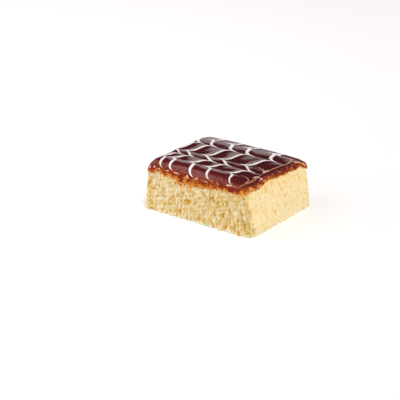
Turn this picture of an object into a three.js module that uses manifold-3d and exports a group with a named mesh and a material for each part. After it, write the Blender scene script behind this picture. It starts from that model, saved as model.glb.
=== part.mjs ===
// Tres leches cake: a block of milk-soaked sponge under a poured caramel glaze that is feathered with cream.
// Millimetres, +Z up, origin at the middle of the base. The long side runs along X. The glaze is poured over
// the edge that faces -Y, and a knife has cut the face that looks along +X.
import * as THREE from "three";
import { ImprovedNoise } from "three/addons/math/ImprovedNoise.js";
import { mergeVertices } from "three/addons/utils/BufferGeometryUtils.js";
import Module from "manifold-3d";

// The block
const LENGTH = 90;
const WIDTH = 72;
const SPONGE_HEIGHT = 30;
const CORNER_RADIUS = 3;
const CUT_LEAN_FRONT = 7; // the faces lean in by these amounts at the sponge's top, the cut face unevenly
const CUT_LEAN_BACK = 2.2;
const LEFT_LEAN = 2.7;
const FRONT_LEAN = 1.6;
const BACK_LEAN = 1.2;
const HALF_LENGTH = LENGTH / 2;
const HALF_WIDTH = WIDTH / 2;

// The torn crumb of the sponge's sides
const CRUMB_DEPTH = 1.5;
const CRUMB_SIZE = 5.2;
const CRUMB_MEAN = 0.3; // mean depth, and the shares of the coarse and the fine unevenness
const COARSE_SHARE = 0.9;
const FINE_SHARE = 0.5;
const SPONGE_COLUMNS = 132;
const LOWER_ROWS = 10; // facets up the open face, and up the band that the glaze may cover
const UPPER_ROWS = 5;
const BAND_START = 24;

// The glaze
const GLAZE_TOP = 35.5;
const FIT_GAP = 0.3; // clearance between glaze and sponge
const SKIRT_THICKNESS = 1.2;
const LIP_TAPER = 0.5; // the skirt gets this much thinner at its lip
const REBATE = 1.1; // the sponge steps back by this much under the skirt, so that the two lie flush
const REBATE_START = 3.4; // below the lip
const REBATE_END = 1.4;
const RIDGE_DIP = 1; // the top falls away towards the cut face
const CORNER_DIP = 1.4; // and further at its front corner
const WAVE_HEIGHT = 0.25; // slow unevenness of the pour
const WAVE_LENGTH = 17;
const WAVE_SEED = 8.5;
const OUTER_SQUARENESS = 4; // exponents of the rounded corners in plan
const INNER_SQUARENESS = 8;
const FLAT_COLUMNS = 12; // facets from the middle to the flat top's edge, along X and along Y
const FLAT_ROWS = 9;
const SHOULDER_STEPS = 5; // facets over the shoulder, and over the skirt that hangs below it
const SKIRT_STEPS = 1;
const OVERHANG_STEPS = SHOULDER_STEPS + SKIRT_STEPS;
const SHOULDER_SHARE = SHOULDER_STEPS / OVERHANG_STEPS;

// Each side of the glaze: where the flat top ends, the length of glaze that hangs over, the height of the lip
// and of the skirt above it. A bevelled side has a sharp ridge instead of a round shoulder.
const SIDES = {
  front: { half: HALF_WIDTH, flat: 25.5, overhang: 16, lip: 28.9, skirt: 1, bevelled: false },
  back: { half: HALF_WIDTH, flat: 33, overhang: 8.6, lip: 28.6, skirt: 1.8, bevelled: false },
  left: { half: HALF_LENGTH, flat: 41.5, overhang: 9, lip: 28.4, skirt: 1.8, bevelled: false },
  cut: { half: HALF_LENGTH, flat: 39.5, overhang: 9.5, lip: 29.2, skirt: 0.9, bevelled: true },
};
const POUR_SAG = 2.5; // the front lip runs lowest here
const POUR_CENTRE = -3;
const POUR_SPREAD = 17;
const LIP_WAVE = 0.7; // small rises and falls of the lip
const LIP_SEED = 2.6;

// The cream: lines laid along Y, then combed across them to and fro
const LINE_CENTRES = [-39.6, -31.2, -12.9, 2.2, 23.6];
const COMB_PULLS = [
  { at: -37.5, reach: 12, fade: 6 },
  { at: -20.4, reach: -4, fade: 2.2 },
  { at: -9.9, reach: 6.5, fade: 2.2 },
  { at: -2.3, reach: -6, fade: 2.2 },
  { at: 16.6, reach: 6.5, fade: 2.2 },
  { at: 29.7, reach: -5, fade: 2.2 },
];
const COMB_EDGE = 52; // the comb's pull dies away towards this distance from the middle
const LINE_START = -37;
const LINE_END = 34;
const LINE_STEPS = 60;
const LINE_WIDTH_FRONT = 2.1;
const LINE_WIDTH_BACK = 2.6;
const LINE_TIP_SHARE = 0.35; // the share of its width that a line keeps at its tips
const LINE_TIP_LENGTH = 4;
const CREAM_RISE = 0.45;
const CREAM_SINK = 0.4;

const { lerp, smoothstep, clamp } = THREE.MathUtils;
const noise = new ImprovedNoise();
const wasm = await Module();
wasm.setup();

// Smooth noise from -1 to 1 with features of the given size.
function noiseAt(point, size) {
  return noise.noise(point.x / size, point.y / size, point.z / size);
}

// A point of the straight-sided block, brought in by the lean of the faces at its height.
function lean(x, y, z) {
  const rise = z / SPONGE_HEIGHT;
  const endLean = x > 0 ? lerp(CUT_LEAN_FRONT, CUT_LEAN_BACK, 0.5 + y / WIDTH) : LEFT_LEAN;
  const sideLean = y > 0 ? BACK_LEAN : FRONT_LEAN;
  const alongX = 1 - (endLean * rise) / HALF_LENGTH;
  const alongY = 1 - (sideLean * rise) / HALF_WIDTH;
  return new THREE.Vector3(x * alongX, y * alongY, z);
}

// The block's outline in plan, counter-clockwise.
function blockOutline() {
  const straightX = HALF_LENGTH - CORNER_RADIUS;
  const straightY = HALF_WIDTH - CORNER_RADIUS;
  const quarter = Math.PI / 2;
  const outline = new THREE.Path();
  outline.moveTo(HALF_LENGTH, -straightY);
  outline.lineTo(HALF_LENGTH, straightY);
  outline.absarc(straightX, straightY, CORNER_RADIUS, 0, quarter);
  outline.absarc(-straightX, straightY, CORNER_RADIUS, quarter, 2 * quarter);
  outline.absarc(-straightX, -straightY, CORNER_RADIUS, 2 * quarter, 3 * quarter);
  outline.absarc(straightX, -straightY, CORNER_RADIUS, 3 * quarter, 4 * quarter);
  return outline;
}

// How far the torn crumb falls back from the block's smooth face.
function crumbDepth(point) {
  const coarse = noiseAt(point, CRUMB_SIZE);
  const fine = noiseAt(point, CRUMB_SIZE / 2);
  return CRUMB_DEPTH * clamp(CRUMB_MEAN + COARSE_SHARE * coarse + FINE_SHARE * fine, 0, 1);
}

// Applies a function from old to new places to every vertex, and keeps the shape's positions alone.
function reshape(geometry, place) {
  const position = geometry.getAttribute("position");
  const vertex = new THREE.Vector3();
  for (let i = 0; i < position.count; i += 1) {
    vertex.fromBufferAttribute(position, i);
    const moved = place(vertex);
    position.setXYZ(i, moved.x, moved.y, moved.z);
  }
  geometry.deleteAttribute("normal");
  geometry.deleteAttribute("uv");
  return mergeVertices(geometry);
}

// The sponge is a capped tube whose round section becomes the block's outline.
function spongeGeometry() {
  const outline = blockOutline();
  const rows = LOWER_ROWS + UPPER_ROWS;
  const tube = new THREE.CylinderGeometry(1, 1, rows, SPONGE_COLUMNS, rows);
  tube.rotateX(Math.PI / 2);
  return reshape(tube, (vertex) => {
    const row = vertex.z + rows / 2;
    const below = (Math.min(row, LOWER_ROWS) / LOWER_ROWS) * BAND_START;
    const above = (Math.max(0, row - LOWER_ROWS) / UPPER_ROWS) * (SPONGE_HEIGHT - BAND_START);
    const z = below + above;
    const onCapCentre = Math.hypot(vertex.x, vertex.y) < 0.5;
    if (onCapCentre) return new THREE.Vector3(0, 0, z);
    const turn = Math.atan2(vertex.y, vertex.x) / (2 * Math.PI);
    const share = (Math.round((turn + 1) * SPONGE_COLUMNS) % SPONGE_COLUMNS) / SPONGE_COLUMNS;
    const edge = outline.getPoint(share);
    const tangent = outline.getTangent(share);
    const lip = lipHeight(edge.x, edge.y, tangent.y ** 2);
    const rebate = REBATE * smoothstep(z, lip - REBATE_START, lip - REBATE_END);
    const depth = Math.max(rebate, crumbDepth(new THREE.Vector3(edge.x, edge.y, z)));
    return lean(edge.x - tangent.y * depth, edge.y + tangent.x * depth, z);
  });
}

// Where a point of the poured sheet lies: the sides that it hangs over, and how far past the flat top it is,
// as shares of those overhangs. Sheet places are measured over the top and on down the shoulders.
function sheetStation(s, t) {
  const sideX = s > 0 ? SIDES.cut : SIDES.left;
  const sideY = t > 0 ? SIDES.back : SIDES.front;
  const pastX = clamp((Math.abs(s) - sideX.flat) / sideX.overhang, 0, 1);
  const pastY = clamp((Math.abs(t) - sideY.flat) / sideY.overhang, 0, 1);
  return { sideX, sideY, pastX, pastY, past: Math.max(pastX, pastY) };
}

// The shares of a rounded corner's reach along X and Y, and the weight of the X side in it.
function cornerShares(station, squareness) {
  const powerX = Math.pow(station.pastX, squareness);
  const powerY = Math.pow(station.pastY, squareness);
  const size = Math.pow(powerX + powerY, 1 / squareness);
  if (size === 0) return { alongX: 0, alongY: 0, weightX: 0 };
  return {
    alongX: station.pastX / size,
    alongY: station.pastY / size,
    weightX: powerX / (powerX + powerY),
  };
}

// How far round the shoulder, and then down the skirt, a share of the overhang has gone.
function overEdge(past) {
  const bend = Math.min(past / SHOULDER_SHARE, 1);
  const hang = Math.max(0, (past - SHOULDER_SHARE) / (1 - SHOULDER_SHARE));
  return { bend, hang };
}

// How far out one side's shoulder has gone, and what share of its drop it has made.
function shoulder(side, { bend, hang }) {
  const reach = side.half - REBATE + FIT_GAP + SKIRT_THICKNESS - side.flat;
  const taper = LIP_TAPER * hang;
  if (side.bevelled) return { out: reach * bend - taper, drop: bend };
  const angle = (bend * Math.PI) / 2;
  return { out: reach * Math.sin(angle) - taper, drop: 1 - Math.cos(angle) };
}

// The height of the glaze's top over a place of the block's plan.
function topHeight(x, y) {
  const towardsCut = Math.max(0, x / HALF_LENGTH) ** 2;
  const towardsFront = Math.max(0, -y / HALF_WIDTH) ** 2;
  const wave = noiseAt(new THREE.Vector3(x, y, WAVE_SEED), WAVE_LENGTH);
  return GLAZE_TOP - RIDGE_DIP * towardsCut - CORNER_DIP * towardsCut * towardsFront + WAVE_HEIGHT * wave;
}

// The height of the skirt's lip at a place of the block's plan. A corner's lip lies between the two sides' lips.
function lipHeight(x, y, weightX) {
  const endLip = x > 0 ? SIDES.cut.lip : SIDES.left.lip;
  const pour = POUR_SAG * Math.exp(-(((x - POUR_CENTRE) / POUR_SPREAD) ** 2));
  const sideLip = y > 0 ? SIDES.back.lip : SIDES.front.lip - pour;
  const wave = LIP_WAVE * noiseAt(new THREE.Vector3(x, y, LIP_SEED), CRUMB_SIZE);
  return lerp(sideLip, endLip, weightX) + wave;
}

// A place in plan past the flat top, on its rounded corners.
function planPlace(s, t, station, shares, outX, outY) {
  const x = station.pastX > 0 ? Math.sign(s) * (station.sideX.flat + outX * shares.alongX) : s;
  const y = station.pastY > 0 ? Math.sign(t) * (station.sideY.flat + outY * shares.alongY) : t;
  return { x, y };
}

// The glaze's outer surface at a place of the sheet.
function glazeSurface(s, t) {
  const station = sheetStation(s, t);
  const shares = cornerShares(station, OUTER_SQUARENESS);
  const edge = overEdge(station.past);
  const overX = shoulder(station.sideX, edge);
  const overY = shoulder(station.sideY, edge);
  const { x, y } = planPlace(s, t, station, shares, overX.out, overY.out);
  const drop = lerp(overY.drop, overX.drop, shares.weightX);
  const lip = lipHeight(x, y, shares.weightX);
  const skirt = lerp(station.sideY.skirt, station.sideX.skirt, shares.weightX);
  const z = lerp(lerp(topHeight(x, y), lip + skirt, drop), lip, edge.hang);
  return lean(x, y, z);
}

// The glaze's under side, which follows the sponge's top and then its faces down to the lip.
function glazeUnderside(s, t) {
  const station = sheetStation(s, t);
  const shares = cornerShares(station, INNER_SQUARENESS);
  const { bend, hang } = overEdge(station.past);
  const outX = (station.sideX.half - REBATE + FIT_GAP - station.sideX.flat) * bend;
  const outY = (station.sideY.half - REBATE + FIT_GAP - station.sideY.flat) * bend;
  const { x, y } = planPlace(s, t, station, shares, outX, outY);
  const z = lerp(SPONGE_HEIGHT + FIT_GAP, lipHeight(x, y, shares.weightX), hang);
  return lean(x, y, z);
}

// The direction that the glaze's outer surface faces at a place of the sheet.
function glazeNormal(s, t) {
  const step = 0.2;
  const alongS = glazeSurface(s + step, t).sub(glazeSurface(s - step, t));
  const alongT = glazeSurface(s, t + step).sub(glazeSurface(s, t - step));
  return alongS.cross(alongT).normalize();
}

// A place across the sheet, for a count of facets from its middle.
function sheetPlace(count, flatSteps, side) {
  const onFlat = Math.min(count / flatSteps, 1) * side.flat;
  const onOverhang = Math.max(0, (count - flatSteps) / OVERHANG_STEPS) * side.overhang;
  return onFlat + onOverhang;
}

// The glaze is a flat slab, folded over the sponge.
function glazeGeometry() {
  const columns = 2 * (FLAT_COLUMNS + OVERHANG_STEPS);
  const rows = 2 * (FLAT_ROWS + OVERHANG_STEPS);
  const slab = new THREE.BoxGeometry(columns, rows, 1, columns, rows, 1);
  return reshape(slab, (vertex) => {
    const sideX = vertex.x > 0 ? SIDES.cut : SIDES.left;
    const sideY = vertex.y > 0 ? SIDES.back : SIDES.front;
    const s = Math.sign(vertex.x) * sheetPlace(Math.abs(vertex.x), FLAT_COLUMNS, sideX);
    const t = Math.sign(vertex.y) * sheetPlace(Math.abs(vertex.y), FLAT_ROWS, sideY);
    return vertex.z > 0 ? glazeSurface(s, t) : glazeUnderside(s, t);
  });
}

// How far the comb has pulled the cream along X, at a place along the line.
function combShift(centre, t) {
  const hold = 1 - (centre / COMB_EDGE) ** 4;
  const pull = (sum, { at, reach, fade }) => sum + reach * Math.exp(-Math.abs(t - at) / fade);
  return hold * COMB_PULLS.reduce(pull, 0);
}

// The width of a cream line, which thins out at both ends.
function lineWidth(t) {
  const along = (t - LINE_START) / (LINE_END - LINE_START);
  const fromEnd = Math.min(t - LINE_START, LINE_END - t);
  const taper = lerp(LINE_TIP_SHARE, 1, smoothstep(fromEnd, 0, LINE_TIP_LENGTH));
  return lerp(LINE_WIDTH_FRONT, LINE_WIDTH_BACK, along) * taper;
}

// A cream line is a straight bar, combed sideways and laid over the glaze, half sunk in it.
function creamLineGeometry(centre) {
  const bar = new THREE.BoxGeometry(1, 1, 1, 1, LINE_STEPS, 1);
  return reshape(bar, (vertex) => {
    const t = lerp(LINE_START, LINE_END, vertex.y + 0.5);
    const s = centre + vertex.x * lineWidth(t) + combShift(centre, t);
    const lift = vertex.z > 0 ? CREAM_RISE : -CREAM_SINK;
    return glazeSurface(s, t).addScaledVector(glazeNormal(s, t), lift);
  });
}

function solidFrom(geometry) {
  const vertProperties = new Float32Array(geometry.getAttribute("position").array);
  const triVerts = new Uint32Array(geometry.getIndex().array);
  return new wasm.Manifold(new wasm.Mesh({ numProp: 3, vertProperties, triVerts }));
}

function geometryFrom(solid) {
  const mesh = solid.getMesh();
  const geometry = new THREE.BufferGeometry();
  geometry.setAttribute("position", new THREE.BufferAttribute(mesh.vertProperties, 3));
  geometry.setIndex(new THREE.BufferAttribute(mesh.triVerts, 1));
  geometry.computeVertexNormals();
  return geometry;
}

// The glaze with its cream lines fused on.
function featheredGlazeGeometry() {
  let glaze = solidFrom(glazeGeometry());
  for (const centre of LINE_CENTRES) {
    glaze = glaze.add(solidFrom(creamLineGeometry(centre)));
  }
  return geometryFrom(glaze);
}

function subPart(name, geometry, color, roughness) {
  const material = new THREE.MeshStandardMaterial({ color, roughness, metalness: 0 });
  const mesh = new THREE.Mesh(geometry, material);
  mesh.name = name;
  return mesh;
}

const cake = new THREE.Group();
cake.add(subPart("sponge", spongeGeometry(), 0xf2dca4, 0.85));
cake.add(subPart("caramel_glaze", featheredGlazeGeometry(), 0x4a1d16, 0.15));

export default cake;
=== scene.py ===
"""Tres leches cake: milk-soaked sponge under a poured caramel glaze that is feathered with cream.

Shapes are worked out in millimetres in the frame's axes and written to the meshes in metres. The glaze is a
sheet that is folded over the block: s runs along X and t along Y, measured over the top and down the sides.
"""

import math

import bmesh
import bpy
import numpy as np
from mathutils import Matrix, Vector


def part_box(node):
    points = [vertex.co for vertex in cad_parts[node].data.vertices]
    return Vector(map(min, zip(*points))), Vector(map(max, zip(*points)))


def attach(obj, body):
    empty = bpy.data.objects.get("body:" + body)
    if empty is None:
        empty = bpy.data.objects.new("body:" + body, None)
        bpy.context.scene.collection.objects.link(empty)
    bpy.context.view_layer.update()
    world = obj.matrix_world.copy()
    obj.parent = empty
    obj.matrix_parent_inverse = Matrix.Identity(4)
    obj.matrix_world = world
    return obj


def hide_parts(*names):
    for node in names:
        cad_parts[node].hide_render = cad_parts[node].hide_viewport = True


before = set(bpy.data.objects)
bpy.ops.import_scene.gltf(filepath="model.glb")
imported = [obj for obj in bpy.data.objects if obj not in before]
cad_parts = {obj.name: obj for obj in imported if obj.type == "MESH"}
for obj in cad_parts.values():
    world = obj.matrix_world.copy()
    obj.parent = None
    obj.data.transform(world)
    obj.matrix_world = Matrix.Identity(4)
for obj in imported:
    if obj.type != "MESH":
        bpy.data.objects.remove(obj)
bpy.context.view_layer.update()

MM = 0.001
SPONGE_HIGH = np.array(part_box("sponge")[1]) / MM

# The block, as the frame has it, and how far each face leans in at its top
HALF_LENGTH = float(SPONGE_HIGH[0])
HALF_WIDTH = float(SPONGE_HIGH[1])
SPONGE_HEIGHT = float(SPONGE_HIGH[2])
CORNER_RADIUS = 2.0
CUT_LEAN_FRONT = 7.0
CUT_LEAN_BACK = 2.2
LEFT_LEAN = 2.7
FRONT_LEAN = 1.6
BACK_LEAN = 1.2
STRAIGHT_X = HALF_LENGTH - CORNER_RADIUS
STRAIGHT_Y = HALF_WIDTH - CORNER_RADIUS
CORNER_ARC = CORNER_RADIUS * math.pi / 2
PERIMETER = 4 * (STRAIGHT_X + STRAIGHT_Y + CORNER_ARC)

# The kinds of unevenness: each has its size, its shortest and longest waves in mm, and its seed
UNEVENNESS = {
    "cells_along": (0.6, 3, 7, 11),
    "cells_along_fine": (0.2, 1.2, 2.5, 18),
    "cells_up": (0.8, 3, 7, 12),
    "cells_up_fine": (0.25, 1.2, 2.5, 19),
    "face_swells": (1.0, 6, 14, 13),
    "lumps": (1.0, 1.6, 3.4, 27),
    "fine_lumps": (1.0, 1.0, 1.9, 28),
    "torn_border": (1.5, 3, 8, 20),
    "worn_corner": (0.66, 2.5, 7, 14),
    "nibbled_foot": (1.0, 2.6, 5.5, 15),
    "soak": (0.4, 1.8, 5, 16),
    "painted_foot_light": (0.6, 2, 5, 25),
    "lip_bays": (0.4, 6, 14, 31),
    "lip_rags": (0.19, 1.8, 4, 32),
    "top_swells": (0.1, 14, 30, 41),
    "comb_drags": (0.006, 1.4, 3.5, 42),
    "lip_wrinkles": (0.05, 1.3, 2.8, 51),
    "lip_folds": (0.2, 2.5, 6, 52),
    "lip_roll": (0.4, 3, 7, 57),
    "bevel_wrinkles": (0.07, 0.9, 2.2, 56),
    "mottle": (0.24, 2, 6, 53),
    "fine_mottle": (0.18, 0.9, 2.2, 55),
    "sheen_border": (0.03, 2, 7, 58),
    "line_breadth": (0.16, 4, 11, 61),
    "smear_breadth": (0.4, 0.9, 2.6, 63),
    "smear_cover": (0.2, 2, 6, 64),
}
WAVE_COUNT = 14
LUMP_WAVE_COUNT = 26

# The crumb: its cells and hollows, and what its depth in mm and its darkness are made up of. The darkness
# is partly the crumb's golden colour, partly painted shade in the hollows and a painted sheen on the lumps
SPONGE_COLUMNS = 1000
SPONGE_ROWS = 92
GROWTH = 0.8
SPARE_ROWS = 3
FAR_AWAY = 9.0
CELL_WALL = (0.04, 0.5)
FOAM_MEAN = 0.25
LUMP_SQUASH = 0.7
HOLLOW_STEEPNESS = 1.5
LEAST_HOLLOW = 0.01
LARGE_CELLS = {"wide": 2.2, "tall": 3.2, "seed": 21}
SMALL_CELLS = {"wide": 1.25, "tall": 1.8, "seed": 23}
PITS = {"wide": 3.0, "tall": 4.6, "least": -0.5, "most": 0.55, "seed": 22}
SLITS = {"wide": 2.1, "tall": 3.0, "least": -0.25, "most": 0.52, "seed": 24}
TORN_DEPTH = {"all": 0.6, "swells": 0.08, "lumps": -0.12, "large": 0.45, "small": 0.1, "pits": 0.7}
CUT_DEPTH = {"all": 0.25, "swells": 0.14, "lumps": -0.06, "small": 0.16, "slits": 0.45}
# Darkness: partly the crumb's golden colour, partly painted shade where it is hollow and a painted sheen
# where it stands out
TORN_DARKNESS = {
    "all": 0.29, "lumps": -0.18, "fine": -0.08, "large": 0.28, "small": 0.30, "pits": 0.55, "to_right": 0.045,
}
CUT_DARKNESS = {"all": 0.08, "height": 0.13, "lumps": -0.09, "fine": -0.09, "small": 0.3, "slits": 0.65}
DRIFT_HALF = 28.0

# The wear of the block's corners and foot in mm, the stains and pale places of its front, and painted bounce
# light on the foot of its torn faces
TORN_FACING = (0.15, 0.85)
FRONT_FACING = (-0.5, -0.9)
TORN_CORNER = (6.0, 2.0)
CORNER_WEAR = 1.62
CORNER_FOOT_WEAR = 0.48
CORNER_FOOT_TOP = 16.0
CORNER_BREADTH = 3.4
CORNER_FOOT_BREADTH = 1.4
WEAR_BELOW_LIP = (0.5, 4.0)
BACK_CORNER_TOP = -0.8
BACK_CORNER_WAIST = 0.3
BACK_CORNER_FOOT = 0.6
BACK_CORNER_BREADTH = 6.0
BACK_CORNER_NECK = (29, 21)
BACK_CORNER_ANKLE = (18, 3)
REBATE = 1.1
REBATE_BELOW_LIP = (1.6, 0.2)
BEHIND_LIP = 0.3
NIBBLE_TOP = 4.0
NIBBLE_MEAN = 0.1
NIBBLE_CUT = 0.4
NIBBLE_TORN = 0.6
SOAK_REACH = 1.2
SOAK_UNDER_POUR = 3.4
SOAK_CENTRE = -15.0
SOAK_SPREAD = 13.0
SOAK_IN_PORES = 0.8
MEAN_PORE = 0.35
STAIN = {"dark": 0.3, "at": -40.0, "spread": 1.7, "top": (26, 16)}
BRIGHT_EDGE = {"pale": 0.3, "at": -44.0, "spread": 2.2}
# Painted bounce light: the torn faces are paler in their lowest few mm, as if lit from the floor
PAINTED_FOOT_LIGHT = 0.22
PAINTED_FOOT_LIGHT_TOP = (2.8, 0.4)
CRUMB_MERGE = 0.01

# The glaze: its top, the dips towards its edges and the sides that it hangs over
GLAZE_COLUMNS = 332
GLAZE_ROWS = 276
GLAZE_TOP = 35.5
FIT_GAP = 0.3
SKIRT_THICKNESS = 1.2
RIDGE_DIP = 1.0
CORNER_DIP = 1.4
BACK_DIP = 1.3
END_DIP = 1.2
END_DIP_START = (38, 46)
BACK_ROLL = 0.0016
BACK_ROLL_START = 22.0
RIDGE_SWING = 4.8
SWING_RANGE = (22, 36)
CORNER_SQUARENESS = 4
SHOULDER_SHARE = 0.82
NEARLY_NONE = 1e-12
NORMAL_STEP = 0.05
SHEET_MARGIN = 0.1
FRONT_SHARE = (-0.4, -0.9)
CUT_SHARE = (0.7, 0.9)
BEVEL_START = (0.1, 0.3)
SIDES = {
    "front": {"half": HALF_WIDTH, "flat": 24.7, "overhang": 16.8, "lip": 28.9, "skirt": 1.0},
    "back": {"half": HALF_WIDTH, "flat": 34.0, "overhang": 7.6, "lip": 28.6, "skirt": 1.8},
    "left": {"half": HALF_LENGTH + 1.4, "flat": 42.5, "overhang": 8.4, "lip": 28.4, "skirt": 1.8},
    "cut": {"half": HALF_LENGTH, "flat": 39.5, "overhang": 9.5, "lip": 29.2, "skirt": 0.9},
}
SHEET_LOW = [-SIDES[name]["flat"] - SIDES[name]["overhang"] for name in ("left", "front")]
SHEET_HIGH = [SIDES[name]["flat"] + SIDES[name]["overhang"] for name in ("cut", "back")]

# The lip: the sag of the pour, the sags at two corners and the rise of the cut side
POUR_SAG = 3.0
POUR_CENTRE = -3.0
POUR_SPREAD = 18.0
CORNER_SAGS = [
    {"drop": 1.8, "x": -HALF_LENGTH, "y": -HALF_WIDTH, "spread_x": 5, "spread_y": 6},
    {"drop": 0.9, "x": HALF_LENGTH, "y": HALF_WIDTH, "spread_x": 4, "spread_y": 4},
]
CUT_RISE = 2.2
CUT_RISE_FRONT = (-20, -11)
CUT_RISE_BACK = (35, 26)
CUT_HUMP = {"share": 0.35, "at": -8, "spread": 4}

# The comb's furrows, the swells under the cream, and the wet folds and drops, in mm
FURROW_DEPTH = 0.26
FURROW_WALL = 2.6
SWELL_HEIGHT = 0.24
SWELL_SPREAD = 3.0
SWELL_SOFTNESS = 1.5
SWELL_END = (36, 28)
DRAG_LENGTH = 5
LIP_EDGE = (4.0, 0.6)
LIP_ROLL = {"height": 0.4, "crest": 2.0, "groove": 3.4, "spread": 0.8, "groove_share": 0.5, "mean": 0.4}
LIP_ROLL_START = (-44, -38)
BEAD_SEED = 54
FRONT_BEADS = {"count": 34, "along": (-43, 38), "in": (3.0, 6.0), "long": (0.5, 1.1), "wide": (0.4, 0.7)}
FRONT_BEAD_HEIGHT = (0.35, 0.75)
BEVEL_BEADS = {"count": 90, "along": (-35, 34), "in": (0.8, 8.0), "long": (0.4, 0.9), "wide": (0.35, 0.65)}
BEVEL_BEAD_HEIGHT = (0.2, 0.5)

# Where the glaze is thin and amber: how far up from the lip in mm, and its gloss and film
AMBER_LIP = 2.0
AMBER_POUR = 3.2
AMBER_POUR_SPREAD = 26.0
AMBER_LEFT = 3.2
AMBER_LEFT_SPREAD = 7.0
AMBER_CUT_BACK = -0.3
AMBER_CUT_FRONT = 4.4
AMBER_LOSS_RIGHT = 0.4
AMBER_LOSS_START = (12, 28)
AMBER_LOSS_END = (44, 38)
AMBER_FADE = (1.15, -0.05)
AMBER_RIM = 0.62
AMBER_RIM_START = (-39.5, -43.5)
AMBER_PAST = 0.3
SHEEN_TOP = 0.8
SHEEN_SHOULDER = 0.05
SHEEN_END = (0.54, 0.46)
FRONT_FILM = {"least": 0.25, "most": 1.0, "past": (0.05, 0.65)}
BEVEL_FILM = {"least": 0.2, "most": 0.9, "past": (0.1, 0.8)}
BACK_END_FILM = {"most": 0.7, "s": (28, 42), "t": (26, 36)}

# The folds that draw the sheet's edge in under the lip, and how far out they are made
TUCKS = [
    {"inward": 0.6, "lift": 0.2, "lowest": 0.0},
    {"inward": 1.2, "lift": 0.4, "lowest": SPONGE_HEIGHT + 0.5},
]
TUCK_FROM_X = 30.0
TUCK_FROM_Y = 26.0

# The cream lines, and the comb strokes that were drawn across them to and fro
CREAM_LINES = [
    {"centre": -41.4, "drift": -0.08, "width": 2.15, "push": 0.88, "drag": 0.9},
    {"centre": -30.4, "drift": 0.0, "width": 2.4, "push": 0.9, "drag": 0.9},
    {"centre": -12.9, "drift": 0.0, "width": 2.5, "push": 1.0, "drag": 1.0},
    {"centre": 2.2, "drift": 0.0, "width": 2.5, "push": 1.0, "drag": 1.0},
    {"centre": 23.6, "drift": 0.0, "width": 2.5, "push": 1.0, "drag": 1.0},
]
COMB_PULLS = [
    {"at": -33.9, "slope": 0.045, "reach": 9.5, "before": 2.0, "after": 3.3, "tail": 3.5, "fill": 2.6},
    {"at": -20.4, "slope": 0.0, "reach": -5.0, "before": 1.3, "after": 1.9, "tail": -4.0, "fill": 2.6},
    {"at": -9.9, "slope": 0.02, "reach": 6.5, "before": 1.7, "after": 3.2, "tail": 3.5, "fill": 2.6},
    {"at": -2.3, "slope": 0.02, "reach": -6.0, "before": 3.2, "after": 2.0, "tail": -3.0, "fill": 2.6},
    {"at": 16.6, "slope": 0.02, "reach": 6.0, "before": 1.6, "after": 2.2, "tail": 3.5, "fill": 2.6},
    {"at": 29.0, "slope": 0.05, "reach": -4.5, "before": 2.4, "after": 1.2, "tail": -4.0, "fill": 40.0},
    {"at": 38.5, "slope": 0.0, "reach": 9.0, "before": 4.0, "after": 4.0, "tail": 0.0, "fill": 2.6},
]
TAIL_FADE = 0.35
LINE_START = -34.3
LINE_END = 36.5
LINE_START_FADE = (-4.0, 8.8)
LINE_END_FADE = 3.0
LINE_SIDES = 12
LINE_STEPS = 440
LINE_SAMPLES = 6000
CROWDING = 9
CROWD_SPREAD = 0.8
BACK_BREADTH = 1.22
BACK_BREADTH_RANGE = (12, 28)
SLANT_BREADTH = 0.17
CREAM_CROWN = 0.14
CREAM_SINK = 0.25
FULL_BREADTH = 1.2
LEAST_FULLNESS = 0.15
TIP_STEEPNESS = 4
EDGE_COVER = 0.55
EDGE_START = (0.6, 1.0)
CREAM_MERGE = 0.002
COVER_BREADTH = (0.12, 0.78)
BEVEL_LIMIT = 0.85

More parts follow.
